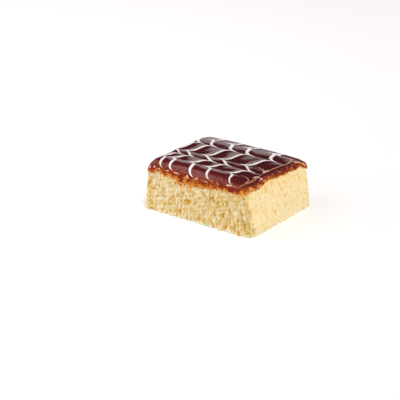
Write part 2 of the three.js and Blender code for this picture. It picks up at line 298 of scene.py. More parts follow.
# Stray dabs and strokes of cream, and painted highlights drawn in the cream's colours:
# each bends from its first place towards its second and ends at its third
SMEARS_AND_PAINTED_HIGHLIGHTS = [
    {"path": ((19.0, 29.4), (23.0, 30.6), (28.0, 29.6)), "width": 3.3, "cover": 1.0},
    {"path": ((38.3, -18.8), (38.8, -12.8), (43.0, -13.2)), "width": 1.3, "cover": 0.7},
    {"path": ((42.0, -13.2), (43.2, -13.0), (44.8, -13.5)), "width": 1.3, "cover": 1.0},
    # Painted reflection: a lilac-white streak on the ridge
    {"path": ((38.2, -6.4), (37.4, -2.5), (38.6, 2.0)), "width": 1.5, "cover": 0.72},
    # Tan lines along the ridge: partly the thin glaze's amber at the sharp edge, partly a painted highlight
    {"path": ((37.6, -35.0), (42.8, -26.0), (39.0, -4.0)), "width": 1.5, "cover": 0.3},
    {"path": ((39.9, -10.0), (37.6, 4.0), (41.0, 26.0)), "width": 1.2, "cover": 0.34},
    {"path": ((39.6, 13.0), (42.2, 33.4), (28.4, 30.6)), "width": 0.9, "cover": 0.54},
    {"path": ((39.2, -33.5), (42.6, -16.5), (26.0, -19.6)), "width": 0.7, "cover": 0.5},
    {"path": ((38.4, -9.0), (38.8, 2.8), (23.6, -0.8)), "width": 0.7, "cover": 0.5},
    # The bright orange arc at the cut side's back end: partly the thin glaze's amber, partly a painted
    # highlight
    {"path": ((40.4, 25.0), (44.8, 30.2), (47.6, 36.4)), "width": 1.8, "cover": 0.0},
    # Painted highlights: pale dabs along the front lip and the left end that stand in for wet glints on the
    # glaze
    {"path": ((-44.9, -33.4), (-43.9, -35.0), (-43.0, -37.2)), "width": 1.2, "cover": 0.62},
    {"path": ((-40.8, -34.5), (-39.9, -34.8), (-38.7, -35.3)), "width": 1.3, "cover": 0.78},
    {"path": ((-35.8, -35.8), (-34.9, -36.5), (-33.8, -36.9)), "width": 0.9, "cover": 0.62},
    {"path": ((-28.0, -35.2), (-27.0, -35.0), (-25.9, -35.2)), "width": 0.9, "cover": 0.66},
    {"path": ((-21.6, -34.9), (-18.9, -34.6), (-15.8, -34.6)), "width": 1.0, "cover": 0.72},
    {"path": ((-10.8, -33.6), (-9.6, -34.6), (-6.8, -36.0)), "width": 0.75, "cover": 0.75},
    {"path": ((-3.4, -34.0), (-1.6, -33.6), (0.4, -33.8)), "width": 0.8, "cover": 0.55},
    {"path": ((1.8, -34.4), (5.0, -33.8), (7.2, -35.2)), "width": 0.5, "cover": 0.5},
    {"path": ((6.4, -34.4), (8.6, -34.8), (10.6, -36.0)), "width": 0.8, "cover": 0.6},
    {"path": ((17.4, -33.6), (19.4, -34.4), (21.4, -36.4)), "width": 0.7, "cover": 0.55},
    {"path": ((27.0, -34.6), (30.2, -32.8), (33.4, -32.8)), "width": 1.7, "cover": 0.6},
]
SMEAR_STEPS = 80
SMEAR_STEADINESS = 0.5
SMEAR_START = 0.25
SMEAR_END = 0.35
# Painted glints: pale flecks scattered on the lower part of the bevel
DAB_SEED = 62
BEVEL_PAINTED_GLINTS = 24
DAB_ALONG = (-33, 30)
DAB_DOWN = (0.35, 0.8)
DAB_TURN = (-0.8, 0.8)
DAB_HALF = (0.3, 0.7)
DAB_WIDTH = (0.4, 0.9)
DAB_COVER = (0.35, 0.7)

# Colours, as (place, red, green, blue) stops in linear light
# The crumb's faces, from lumps to hollows: the palest stops are partly a painted sheen on the lumps, the
# darkest partly painted shade in the hollows
TORN_CRUMB = (
    (0.0, 0.715, 0.665, 0.475),
    (0.3, 0.635, 0.515, 0.232),
    (0.6, 0.59, 0.365, 0.058),
    (1.0, 0.55, 0.225, 0.009),
)
CUT_CRUMB = (
    (0.0, 0.84, 0.74, 0.47),
    (0.4, 0.83, 0.61, 0.23),
    (1.0, 0.80, 0.42, 0.06),
)
SOAKED_CRUMB = (
    (0.0, 0.80, 0.62, 0.25),
    (0.35, 0.74, 0.45, 0.11),
    (0.7, 0.67, 0.31, 0.045),
    (1.0, 0.58, 0.19, 0.02),
)
POURED_GLAZE = (
    (0.0, 0.055, 0.0074, 0.0088),
    (0.14, 0.080, 0.0088, 0.0093),
    (0.4, 0.105, 0.0120, 0.0108),
    (1.0, 0.17, 0.022, 0.008),
)
THIN_GLAZE = (
    (0.0, 0.14, 0.018, 0.009),
    (0.3, 0.18, 0.026, 0.009),
    (0.55, 0.27, 0.052, 0.010),
    (0.75, 0.39, 0.098, 0.014),
    (0.9, 0.53, 0.165, 0.024),
    (1.0, 0.63, 0.25, 0.05),
)
# The cream, by how thickly it covers; its first, bright orange stop is for the arc at the cut side's back
# end, partly thin glaze amber and partly a painted highlight
CREAM = (
    (0.0, 0.80, 0.43, 0.15),
    (0.12, 0.30, 0.11, 0.038),
    (0.3, 0.35, 0.155, 0.068),
    (0.45, 0.42, 0.225, 0.13),
    (0.6, 0.58, 0.46, 0.38),
    (0.85, 0.71, 0.70, 0.69),
    (1.0, 0.72, 0.735, 0.745),
)
ROOM = (
    (0.0, 1.0, 0.9, 0.93),
    (0.328, 1.0, 0.9, 0.93),
    (0.37, 0.03, 0.02, 0.02),
    (0.85, 0.03, 0.03, 0.03),
    (1.0, 0.3, 0.3, 0.3),
)
FLOOR = (0.92, 0.92, 0.92, 1.0)

# The finishes of the pieces, with lengths in metres
SPONGE_GRAIN = {"scale": 1500.0, "tint": 0.1, "strength": 0.25, "depth": 0.0002}
GLAZE_GRAIN = {"scale": 260.0, "tint": 0.12, "strength": 0.03, "depth": 0.0002}
CREAM_GRAIN = {"scale": 700.0, "tint": 0.06, "strength": 0.05, "depth": 0.0001}
GRAIN_DETAIL = 4.0
DRY_ROUGHNESS = 0.72
SOAKED_ROUGHNESS = 0.22
CREAM_ROUGHNESS = 0.22
GLAZE_ROUGHNESS = 0.4
GLOSS_ROUGHNESS = 0.045
GLOSS_IOR = 1.48
SPONGE_SPECULAR = 0.35
SPONGE_GLOW = 0.85
SPONGE_GLOW_COLOUR = (1.0, 0.7, 0.4)
SPONGE_GLOW_DEPTH = 0.0013
FULL_SOAK = 1.3
FULL_AMBER = 3.0

# The stage and its light, in metres and degrees
FLOOR_RADIUS = 8.0
FLOOR_SEGMENTS = 96
FLOOR_ROUGHNESS = 0.6
ROOM_STRENGTH = 1.25
KEY_LIGHT = {"power": 2.4, "spread": 30, "place": (0.35, -0.2, 0.915), "target": (0, 0, 0)}
SOFT_BOXES = [
    {"name": "soft_box", "size": 0.8, "power": 3.2, "tint": (1.0, 0.88, 0.84), "place": (-0.5, -0.4, 0.55)},
    {"name": "upper_box", "size": 0.4, "power": 0.8, "tint": (1.0, 0.86, 0.84), "place": (-0.5, 0.12, 0.75)},
]
SOFT_BOX_TARGET = (0, 0, 0.03)

# The camera, which looks as the photograph does, in mm and degrees
CAMERA_AZIMUTH = 36.81
CAMERA_PITCH = 22.5
CAMERA_DISTANCE = 850.3
CAMERA_TARGET = (-22.2, -1.6, 0.0)
CAMERA_LENS = 108.0
CAMERA_SENSOR = 36.0
CAMERA_SIGHT = 50000.0


def ease(low, high, value):
    """A smooth step from 0 at low to 1 at high."""
    share = np.clip((value - low) / (high - low), 0.0, 1.0)
    return share * share * (3.0 - 2.0 * share)


def mix(first, second, share):
    """From the first value at 0 to the second at 1."""
    return first + (second - first) * share


def hill(value, centre, spread):
    """1 at the centre, falling smoothly to 0 on both sides."""
    return np.exp(-(((value - centre) / spread) ** 2))


def waves(points, name, count=WAVE_COUNT):
    """A kind of unevenness, from plane waves through points, which are x, y, z arrays in mm."""
    size, shortest, longest, seed = UNEVENNESS[name]
    draw = np.random.default_rng(seed)
    total = 0.0
    for _ in range(count):
        direction = draw.normal(size=3)
        direction /= np.linalg.norm(direction)
        turns = 2 * math.pi / draw.uniform(shortest, longest)
        along = sum(step * axis for step, axis in zip(direction, points))
        total = total + np.sin(turns * along + draw.uniform(0, 2 * math.pi))
    return size * (total / math.sqrt(count))


def cells(along, height, wide, tall, seed):
    """Cells scattered round the block.

    Gives the distances to the nearest and the second nearest middle, and the tone of the nearest cell.
    """
    across = round(PERIMETER / wide)
    up = math.ceil(2 * SPONGE_HEIGHT / tall) + 2 * SPARE_ROWS
    draw = np.random.default_rng(seed)
    place = draw.random((across, up, 2))
    tone_of = draw.random((across, up))
    u = along / PERIMETER * across
    v = height / tall + SPARE_ROWS
    column = np.floor(u).astype(int)
    row = np.floor(v).astype(int)
    nearest = np.full(u.shape, FAR_AWAY)
    second = np.full(u.shape, FAR_AWAY)
    tone = np.zeros(u.shape)
    for step_u in (-1, 0, 1):
        for step_v in (-1, 0, 1):
            c = (column + step_u) % across
            r = np.clip(row + step_v, 0, up - 1)
            distance = np.hypot(column + step_u + place[c, r, 0] - u, row + step_v + place[c, r, 1] - v)
            closer = distance < nearest
            second = np.where(closer, nearest, np.minimum(second, distance))
            tone = np.where(closer, tone_of[c, r], tone)
            nearest = np.where(closer, distance, nearest)
    return nearest, second, tone


def lean(x, y, z):
    """A point of the straight-sided block, brought in by the lean of the faces at its height."""
    rise = z / SPONGE_HEIGHT
    cut_lean = mix(CUT_LEAN_FRONT, CUT_LEAN_BACK, 0.5 + 0.5 * y / HALF_WIDTH)
    end_lean = np.where(x > 0, cut_lean, LEFT_LEAN)
    side_lean = np.where(y > 0, BACK_LEAN, FRONT_LEAN)
    return x * (1 - end_lean * rise / HALF_LENGTH), y * (1 - side_lean * rise / HALF_WIDTH), z


def block_outline(along):
    """Places on the block's outline and the directions that it faces, for distances along it."""
    along = np.mod(along, PERIMETER)
    x, y, facing = np.zeros_like(along), np.zeros_like(along), np.zeros_like(along)
    start = 0.0
    for quarter in range(4):
        turn = quarter * math.pi / 2
        half, run = ((HALF_LENGTH, STRAIGHT_Y), (HALF_WIDTH, STRAIGHT_X))[quarter % 2]
        out = np.array((math.cos(turn), math.sin(turn)))
        side = np.array((-math.sin(turn), math.cos(turn)))
        past = along - start
        on_face = (past >= 0) & (past < 2 * run)
        x = np.where(on_face, out[0] * half + side[0] * (past - run), x)
        y = np.where(on_face, out[1] * half + side[1] * (past - run), y)
        facing = np.where(on_face, turn, facing)
        centre = out * (half - CORNER_RADIUS) + side * run
        angle = turn + (past - 2 * run) / CORNER_RADIUS
        on_corner = (past >= 2 * run) & (past < 2 * run + CORNER_ARC)
        x = np.where(on_corner, centre[0] + CORNER_RADIUS * np.cos(angle), x)
        y = np.where(on_corner, centre[1] + CORNER_RADIUS * np.sin(angle), y)
        facing = np.where(on_corner, angle, facing)
        start += 2 * run + CORNER_ARC
    return x, y, np.cos(facing), np.sin(facing)


def outline_gap(along, place):
    """How far places on the block's outline are from one place on it."""
    return np.abs(np.mod(along - place + PERIMETER / 2, PERIMETER) - PERIMETER / 2)


def lip_height(x, y, weight_x):
    """The height of the glaze's lip at a place of the block's plan."""
    hump = CUT_HUMP["share"] * hill(y, CUT_HUMP["at"], CUT_HUMP["spread"])
    rise = CUT_RISE * (ease(*CUT_RISE_FRONT, y) * ease(*CUT_RISE_BACK, y) + hump)
    end_lip = np.where(x > 0, SIDES["cut"]["lip"] + rise, SIDES["left"]["lip"])
    pour = POUR_SAG * hill(x, POUR_CENTRE, POUR_SPREAD)
    side_lip = np.where(y > 0, SIDES["back"]["lip"], SIDES["front"]["lip"] - pour)
    sag = 0.0
    for corner in CORNER_SAGS:
        near = hill(x, corner["x"], corner["spread_x"]) * hill(y, corner["y"], corner["spread_y"])
        sag = sag + corner["drop"] * near
    points = (x, y, 0 * x)
    uneven = waves(points, "lip_bays") + waves(points, "lip_rags")
    return mix(side_lip, end_lip, weight_x) - sag + uneven


def new_piece(name, bm, material):
    """An object of that name from a finished bmesh."""
    mesh = bpy.data.meshes.new(name)
    bm.to_mesh(mesh)
    bm.free()
    mesh.materials.append(material)
    piece = bpy.data.objects.new(name, mesh)
    bpy.context.collection.objects.link(piece)
    return piece


def grid_mesh(columns, rows):
    """A bmesh grid, and for each of its vertices the share from 0 to 1 along its columns and rows."""
    bm = bmesh.new()
    bmesh.ops.create_grid(bm, x_segments=columns, y_segments=rows, size=1.0)
    shares = np.array([vertex.co[:2] for vertex in bm.verts]) / 2 + 0.5
    return bm, shares[:, 0], shares[:, 1]


def place_vertices(bm, x, y, z):
    """Moves the bmesh's vertices to places in mm."""
    for vertex, place in zip(bm.verts, np.stack((x, y, z), axis=1) * MM):
        vertex.co = place


def store(bm, name, values):
    """Keeps a number for each vertex under a name that the materials read."""
    layer = bm.verts.layers.float.new(name)
    for vertex, value in zip(bm.verts, values):
        vertex[layer] = float(value)


def smooth_faces(bm):
    """Makes every face so far shade smoothly."""
    for face in bm.faces:
        face.smooth = True


def fill_flat(bm, edges):
    """Closes the openings that the edges run round with flat faces, and turns all faces outwards."""
    for face in bmesh.ops.holes_fill(bm, edges=edges, sides=0)["faces"]:
        face.smooth = False
    bmesh.ops.recalc_face_normals(bm, faces=bm.faces)


def foam(along, height, wide, tall, seed):
    """The open cells of a sponge: low on the walls between them and high at the bottom of the deepest."""
    near, second, tone = cells(along, height, wide, tall, seed)
    return ease(*CELL_WALL, second - near) * tone - FOAM_MEAN


def hollows(along, height, wide, tall, least, most, seed):
    """Round hollows of mixed sizes, one in each cell: 0 on the crumb's face and 1 at a hollow's bottom."""
    near, _, tone = cells(along, height, wide, tall, seed)
    radius = np.maximum(mix(least, most, tone), LEAST_HOLLOW)
    return np.clip(1 - (near / radius) ** 2, 0, 1) ** HOLLOW_STEEPNESS


def add_up(shares, layers):
    """The sum of the named layers, each with its share."""
    return sum(share * layers[name] for name, share in shares.items())


def crumb_relief(along, points, torn):
    """How far the crumb falls back from the block's face in mm, and how dark it is from 0 to 1: golden pores,
    with painted shade in the hollows and a painted sheen on the lumps.
    """
    x, y, z = points
    u = along + waves(points, "cells_along") + waves(points, "cells_along_fine")
    v = z + waves(points, "cells_up") + waves(points, "cells_up_fine")
    squashed = (x, y, LUMP_SQUASH * z)
    layers = {
        "all": 1.0,
        "swells": waves(points, "face_swells"),
        "lumps": waves(squashed, "lumps", LUMP_WAVE_COUNT),
        "fine": waves(squashed, "fine_lumps", LUMP_WAVE_COUNT),
        "large": foam(u, v, **LARGE_CELLS),
        "small": foam(u, v, **SMALL_CELLS),
        "pits": hollows(u, v, **PITS),
        "slits": hollows(u, v, **SLITS),
        "height": z / SPONGE_HEIGHT,
        "to_right": np.clip(x / DRIFT_HALF, -1, 1) * (y < 0),
    }
    depth = mix(add_up(CUT_DEPTH, layers), add_up(TORN_DEPTH, layers), torn)
    crumb_tone_and_painted_light = mix(add_up(CUT_DARKNESS, layers), add_up(TORN_DARKNESS, layers), torn)
    return np.maximum(0, depth), np.clip(crumb_tone_and_painted_light, 0, 1)


def front_corner_wear(points, lip, away):
    """How far the corner between the front and the cut side has crumbled, most of all at its foot."""
    z = points[2]
    foot = ease(CORNER_FOOT_TOP, 0, z)
    worn = CORNER_WEAR + CORNER_FOOT_WEAR * foot + waves(points, "worn_corner")
    return worn * ease(*WEAR_BELOW_LIP, lip - z) * hill(away, 0, CORNER_BREADTH + CORNER_FOOT_BREADTH * foot)


def back_corner_flare(z, away):
    """How far the back corner of the cut side stands out: it is drawn in on top and flared at its foot."""
    body = mix(BACK_CORNER_TOP, BACK_CORNER_WAIST, ease(*BACK_CORNER_NECK, z))
    foot = BACK_CORNER_FOOT * ease(*BACK_CORNER_ANKLE, z)
    return (body + foot) * hill(away, 0, BACK_CORNER_BREADTH)


def foot_nibble(points, torn):
    """How far the crumb is broken away unevenly along its foot."""
    x, y, z = points
    uneven = mix(NIBBLE_CUT, NIBBLE_TORN, torn) * waves((x, y, 0 * z), "nibbled_foot")
    return ease(NIBBLE_TOP, 0.0, z) * (NIBBLE_MEAN + uneven)


def make_sponge(material):
    """The block of soaked crumb: a strip bent round the outline, with its top and base filled."""
    bm, round_share, up_share = grid_mesh(SPONGE_COLUMNS, SPONGE_ROWS)
    along = round_share * PERIMETER
    x, y, out_x, out_y = block_outline(along)
    lip = lip_height(x, y, out_x ** 2)
    z = up_share * np.maximum(SPONGE_HEIGHT, lip + BEHIND_LIP)
    points = (x, y, z)
    from_front = outline_gap(along, -CORNER_ARC / 2)
    from_back = outline_gap(along, 2 * STRAIGHT_Y + CORNER_ARC / 2)
    torn_corner = ease(*TORN_CORNER, from_front + waves(points, "torn_border"))
    torn = np.maximum(ease(*TORN_FACING, out_y ** 2), torn_corner)
    # The crumb's tone: golden pores, with painted shade in the hollows and a painted sheen on the lumps
    depth, crumb_tone_and_painted_light = crumb_relief(along, points, torn)
    depth = depth + front_corner_wear(points, lip, from_front) + foot_nibble(points, torn)
    rebate = REBATE * ease(lip - REBATE_BELOW_LIP[0], lip - REBATE_BELOW_LIP[1], z)
    depth = np.maximum(depth, rebate) - back_corner_flare(z, from_back)
    x, y, z = lean(x - out_x * (depth - GROWTH), y - out_y * (depth - GROWTH), z)
    place_vertices(bm, x, y, z)
    front = ease(*FRONT_FACING, out_y)
    reach = SOAK_REACH + SOAK_UNDER_POUR * front * hill(x, SOAK_CENTRE, SOAK_SPREAD)
    soak = 1 + (z - lip) / reach + waves(points, "soak") + SOAK_IN_PORES * (crumb_tone_and_painted_light - MEAN_PORE)
    stain = STAIN["dark"] * front * hill(x, STAIN["at"], STAIN["spread"]) * ease(*STAIN["top"], z)
    bright_edge = BRIGHT_EDGE["pale"] * front * hill(x, BRIGHT_EDGE["at"], BRIGHT_EDGE["spread"])
    # Painted bounce light along the foot of the torn faces
    painted_foot_light = PAINTED_FOOT_LIGHT * torn * ease(*PAINTED_FOOT_LIGHT_TOP, z) * (1 + waves(points, "painted_foot_light"))
    store(bm, "crumb_tone_and_painted_light", crumb_tone_and_painted_light + stain - bright_edge - painted_foot_light)
    store(bm, "soak", np.clip(soak, 0, 1))
    store(bm, "torn", torn)
    bmesh.ops.remove_doubles(bm, verts=bm.verts, dist=CRUMB_MERGE * MM)
    smooth_faces(bm)
    fill_flat(bm, [edge for edge in bm.edges if edge.is_boundary])
    piece = new_piece("sponge_crumb", bm, material)
    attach(piece, "root")
    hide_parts("sponge")
    return piece


def side_values(s, t, key):
    """One of the sides' values for the X side and for the Y side that places of the glaze belong to."""
    along_x = np.where(s > 0, SIDES["cut"][key], SIDES["left"][key])
    along_y = np.where(t > 0, SIDES["back"][key], SIDES["front"][key])
    return along_x, along_y


def comb_shift(line, t, soft=0.0, tail=1.0):
    """How far the comb has pulled a line along X, at places along it. Softening rounds its points off."""
    total = 0.0
    for pull in COMB_PULLS:
        away = t - pull["at"] - pull["slope"] * line["centre"]
        fade = np.where(away < 0, pull["before"], pull["after"]) + soft
        share = line["push"] if pull["reach"] > 0 else line["drag"]
        total = total + share * pull["reach"] * np.exp(-np.abs(away) / fade)
        total = total + share * tail * pull["tail"] * np.exp(-np.abs(away) / TAIL_FADE)
    return total


def feather_relief(x, y):
    """The furrows that the comb left in the glaze and the swells that the cream lines ride on, in mm."""
    height = 0.0
    for pull in COMB_PULLS[1:-1]:
        away = y - pull["at"] - pull["slope"] * x
        height = height - FURROW_DEPTH * np.exp(-np.abs(away) / np.where(away < 0, FURROW_WALL, pull["fill"]))
    for line in CREAM_LINES:
        centre = line["centre"] + line["drift"] * y + comb_shift(line, y, soft=SWELL_SOFTNESS, tail=0.0)
        height = height + SWELL_HEIGHT * hill(x, centre, SWELL_SPREAD) * ease(*SWELL_END, y)
    return height


def top_height(x, y):
    """The height of the glaze's top over a place of the block's plan."""
    to_cut = np.maximum(0, x / HALF_LENGTH) ** 2
    to_front = np.maximum(0, -y / HALF_WIDTH) ** 2
    to_left = np.maximum(0, -x / HALF_LENGTH) ** 4
    to_back = np.maximum(0, y / HALF_WIDTH) ** 4
    uneven = waves((x, y, 0 * x), "top_swells") + waves((x / DRAG_LENGTH, y, 0 * x), "comb_drags")
    dips = RIDGE_DIP * to_cut + CORNER_DIP * to_cut * to_front + BACK_DIP * to_left * to_back
    end = END_DIP * ease(*END_DIP_START, x) * ease(*SWING_RANGE, y)
    roll = BACK_ROLL * np.maximum(0, y - BACK_ROLL_START) ** 2
    return GLAZE_TOP - dips - end - roll + uneven + feather_relief(x, y)


def glaze_surface(s, t):
    """The smooth outer surface of the glaze, its lip's height, and how far past the top it is from 0 to 1."""
    cut_side = s > 0
    flat_x, flat_y = side_values(s, t, "flat")
    over_x, over_y = side_values(s, t, "overhang")
    half_x, half_y = side_values(s, t, "half")
    skirt_x, skirt_y = side_values(s, t, "skirt")
    swing = np.where(cut_side, RIDGE_SWING * ease(*SWING_RANGE, t), 0)
    flat_x = flat_x + swing
    over_x = over_x - swing
    past_x = np.clip((np.abs(s) - flat_x) / over_x, 0, 1)
    past_y = np.clip((np.abs(t) - flat_y) / over_y, 0, 1)
    power_x = past_x ** CORNER_SQUARENESS
    power_y = past_y ** CORNER_SQUARENESS
    powers = np.maximum(power_x + power_y, NEARLY_NONE)
    size = powers ** (1 / CORNER_SQUARENESS)
    weight_x = power_x / powers
    past = np.maximum(past_x, past_y)
    bend = np.minimum(past / SHOULDER_SHARE, 1)
    hang = np.maximum(0, (past - SHOULDER_SHARE) / (1 - SHOULDER_SHARE))
    round_out = np.sin(bend * math.pi / 2)
    round_drop = 1 - np.cos(bend * math.pi / 2)
    reach_x = half_x - REBATE + FIT_GAP + SKIRT_THICKNESS - flat_x
    reach_y = half_y - REBATE + FIT_GAP + SKIRT_THICKNESS - flat_y
    out_x = reach_x * np.where(cut_side, bend, round_out)
    out_y = reach_y * round_out
    x = np.where(past_x > 0, np.sign(s) * (flat_x + out_x * past_x / size), s)
    y = np.where(past_y > 0, np.sign(t) * (flat_y + out_y * past_y / size), t)
    drop = mix(round_drop, np.where(cut_side, bend, round_drop), weight_x)
    lip = lip_height(x, y, weight_x)
    skirt = mix(skirt_y, skirt_x, weight_x)
    z = mix(mix(top_height(x, y), lip + skirt, drop), lip, hang)
    return (*lean(x, y, z), lip, past)


def glaze_place(s, t):
    """The places of the glaze's smooth surface alone, as rows of x, y and z."""
    return np.stack(glaze_surface(s, t)[:3])


def glaze_normal(s, t):
    """The direction that the glaze faces at places of the sheet."""
    along_s = glaze_place(s + NORMAL_STEP, t) - glaze_place(s - NORMAL_STEP, t)
    along_t = glaze_place(s, t + NORMAL_STEP) - glaze_place(s, t - NORMAL_STEP)
    normal = np.cross(along_s, along_t, axis=0)
    return normal / np.linalg.norm(normal, axis=0)


def beads(s, t):
    """Wet drops of the glaze near its front lip and on the bevel of the cut side, in mm."""
    draw = np.random.default_rng(BEAD_SEED)
    height = 0.0
    for _ in range(FRONT_BEADS["count"]):
        place_s = draw.uniform(*FRONT_BEADS["along"])
        place_t = SHEET_LOW[1] + draw.uniform(*FRONT_BEADS["in"])
        long = draw.uniform(*FRONT_BEADS["long"])
        wide = draw.uniform(*FRONT_BEADS["wide"])
        height = height + draw.uniform(*FRONT_BEAD_HEIGHT) * hill(s, place_s, long) * hill(t, place_t, wide)
    for _ in range(BEVEL_BEADS["count"]):
        place_s = SHEET_HIGH[0] - draw.uniform(*BEVEL_BEADS["in"])
        place_t = draw.uniform(*BEVEL_BEADS["along"])
        long = draw.uniform(*BEVEL_BEADS["long"])
        wide = draw.uniform(*BEVEL_BEADS["wide"])
        height = height + draw.uniform(*BEVEL_BEAD_HEIGHT) * hill(s, place_s, wide) * hill(t, place_t, long)
    return height


def on_front(y):
    """1 along the front of the glaze and 0 elsewhere."""
    return ease(*FRONT_SHARE, y / HALF_WIDTH)


def on_bevel(s, t, past):
    """1 on the bevel of the cut side and 0 elsewhere."""
    return ease(*BEVEL_START, past) * (s > 0) * (np.abs(t) < HALF_WIDTH)


def glaze_skin(s, t):
    """The surface of the glaze with its folds and drops.

    Gives its places, the way that it faces, its lip's height and how far past the top it is.
    """
    x, y, z, lip, past = glaze_surface(s, t)
    inner_s = np.clip(s, SHEET_LOW[0] + SHEET_MARGIN, SHEET_HIGH[0] - SHEET_MARGIN)
    inner_t = np.clip(t, SHEET_LOW[1] + SHEET_MARGIN, SHEET_HIGH[1] - SHEET_MARGIN)
    normal = glaze_normal(inner_s, inner_t)
    points = (x, y, z)
    up = z - lip
    wrinkles = ease(*LIP_EDGE, up) * (waves(points, "lip_wrinkles") + waves(points, "lip_folds"))
    wrinkles = wrinkles + on_bevel(s, t, past) * waves(points, "bevel_wrinkles")
    groove = LIP_ROLL["groove_share"] * hill(up, LIP_ROLL["groove"], LIP_ROLL["spread"])
    roll = LIP_ROLL["height"] * (hill(up, LIP_ROLL["crest"], LIP_ROLL["spread"]) - groove)
    roll = roll * np.clip(LIP_ROLL["mean"] + waves(points, "lip_roll"), 0, 1)
    bumps = wrinkles + on_front(y) * ease(*LIP_ROLL_START, s) * roll + beads(s, t)
    places = [axis + bumps * way for axis, way in zip(points, normal)]
    return places, normal, lip, past


def thin_glaze(points, lip, past):
    """Where the glaze is so thin that it turns amber, from 0 to 1."""
    x, y, z = points
    front = on_front(y)
    cut = ease(*CUT_SHARE, x / HALF_LENGTH)
    amber = AMBER_LIP + AMBER_POUR * front * hill(x, POUR_CENTRE, AMBER_POUR_SPREAD)
    amber = amber + AMBER_LEFT * front * hill(x, -HALF_LENGTH, AMBER_LEFT_SPREAD)
    amber = amber + cut * mix(AMBER_CUT_BACK, AMBER_CUT_FRONT, ease(0.0, -1.0, y / HALF_WIDTH))
    amber = amber - AMBER_LOSS_RIGHT * front * ease(*AMBER_LOSS_START, x) * ease(*AMBER_LOSS_END, x)
    mottle = waves(points, "mottle") + waves(points, "fine_mottle")
    thin = ease(*AMBER_FADE, (z - lip) / amber + mottle)
    left_rim = AMBER_RIM * front * ease(*AMBER_RIM_START, x)
    return np.maximum(thin, left_rim) * (past > AMBER_PAST)


def film_share(film, past):
    """How far a side's glaze has run out to a film."""
    return mix(film["least"], film["most"], ease(*film["past"], past))


def glaze_film(s, t, y, past):
    """Where the glaze has run out to a film that lets some light through, from 0 to 1."""
    back_end = BACK_END_FILM["most"] * ease(*BACK_END_FILM["s"], s) * ease(*BACK_END_FILM["t"], t)
    front = on_front(y) * film_share(FRONT_FILM, past)
    bevel = on_bevel(s, t, past) * film_share(BEVEL_FILM, past)
    return np.maximum(front + back_end, bevel)


def tuck_under(bm):
    """Draws the sheet's edge in under the lip in two folds, up to the sponge's top, and closes it there."""
    edges = [edge for edge in bm.edges if edge.is_boundary]
    for tuck in TUCKS:
        made = bmesh.ops.extrude_edge_only(bm, edges=edges)["geom"]
        for vertex in (item for item in made if isinstance(item, bmesh.types.BMVert)):
            inward = tuck["inward"] * MM
            vertex.co.x -= math.copysign(inward, vertex.co.x) * (abs(vertex.co.x) > TUCK_FROM_X * MM)
            vertex.co.y -= math.copysign(inward, vertex.co.y) * (abs(vertex.co.y) > TUCK_FROM_Y * MM)
            vertex.co.z = max(vertex.co.z + tuck["lift"] * MM, tuck["lowest"] * MM)
        edges = [item for item in made if isinstance(item, bmesh.types.BMEdge) and item.is_boundary]
    fill_flat(bm, edges)


def make_glaze(material):
    """The poured glaze: a sheet folded over the block, tucked in below its lip and closed on the sponge."""
    bm, share_s, share_t = grid_mesh(GLAZE_COLUMNS, GLAZE_ROWS)
    s = mix(SHEET_LOW[0], SHEET_HIGH[0], share_s)
    t = mix(SHEET_LOW[1], SHEET_HIGH[1], share_t)
    points, _, lip, past = glaze_skin(s, t)
    place_vertices(bm, *points)
    store(bm, "thin", thin_glaze(points, lip, past))
    gloss = ease(*SHEEN_END, past + waves(points, "sheen_border"))
    store(bm, "sheen", mix(SHEEN_SHOULDER, SHEEN_TOP, gloss))
    store(bm, "film", glaze_film(s, t, points[1], past))
    smooth_faces(bm)
    tuck_under(bm)
    piece = new_piece("caramel_glaze_pour", bm, material)
    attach(piece, "root")
    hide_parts("caramel_glaze")
    return piece


def line_start(line):
    """Where a line begins: just past the comb stroke along the front lip."""
    return LINE_START + COMB_PULLS[0]["slope"] * line["centre"]


def line_stations(line):
    """Places along a cream line, crowded where the comb crosses it."""
    t = np.linspace(line_start(line), LINE_END, LINE_SAMPLES)
    crowd = np.ones_like(t)
    for pull in COMB_PULLS:
        away = np.abs(t - pull["at"] - pull["slope"] * line["centre"])
        crowd = crowd + CROWDING * np.exp(-away / CROWD_SPREAD)
    gone = np.concatenate(((0.0,), np.cumsum(crowd[1:] + crowd[:-1])))
    return np.interp(np.linspace(0, gone[-1], LINE_STEPS + 1), gone, t)


def add_strand(bm, middle, spread, across, tips, cover):
    """A flat closed strand of cream laid over the glaze, half sunk in it.

    Its middle and its spread are pairs of s and t arrays. The rest are its breadth, how far its tips have
    filled out and how thickly it covers.
    """
    steps = len(tips) - 1
    strand, round_share, along_share = grid_mesh(LINE_SIDES, steps)
    step = np.rint(along_share * steps).astype(int)
    angle = 2 * math.pi * round_share
    s = middle[0][step] + 0.5 * spread[0][step] * np.cos(angle)
    t = middle[1][step] + 0.5 * spread[1][step] * np.cos(angle)
    s = np.minimum(s, SIDES["cut"]["flat"] + BEVEL_LIMIT * SIDES["cut"]["overhang"])
    full = np.clip(across / FULL_BREADTH, LEAST_FULLNESS, 1) * np.minimum(1, tips * TIP_STEEPNESS)
    lift = np.where(np.sin(angle) > 0, CREAM_CROWN, CREAM_SINK) * np.sin(angle) * full[step]
    points, normal, _, _ = glaze_skin(s, t)
    place_vertices(strand, *(axis + lift * way for axis, way in zip(points, normal)))
    edge = mix(1.0, EDGE_COVER, ease(*EDGE_START, np.abs(np.cos(angle))))
    store(strand, "cover", cover[step] * ease(*COVER_BREADTH, across[step]) * edge)
    bmesh.ops.remove_doubles(strand, verts=strand.verts, dist=CREAM_MERGE * MM)
    part = bpy.data.meshes.new("strand")
    strand.to_mesh(part)
    strand.free()
    bm.from_mesh(part)
    bpy.data.meshes.remove(part)


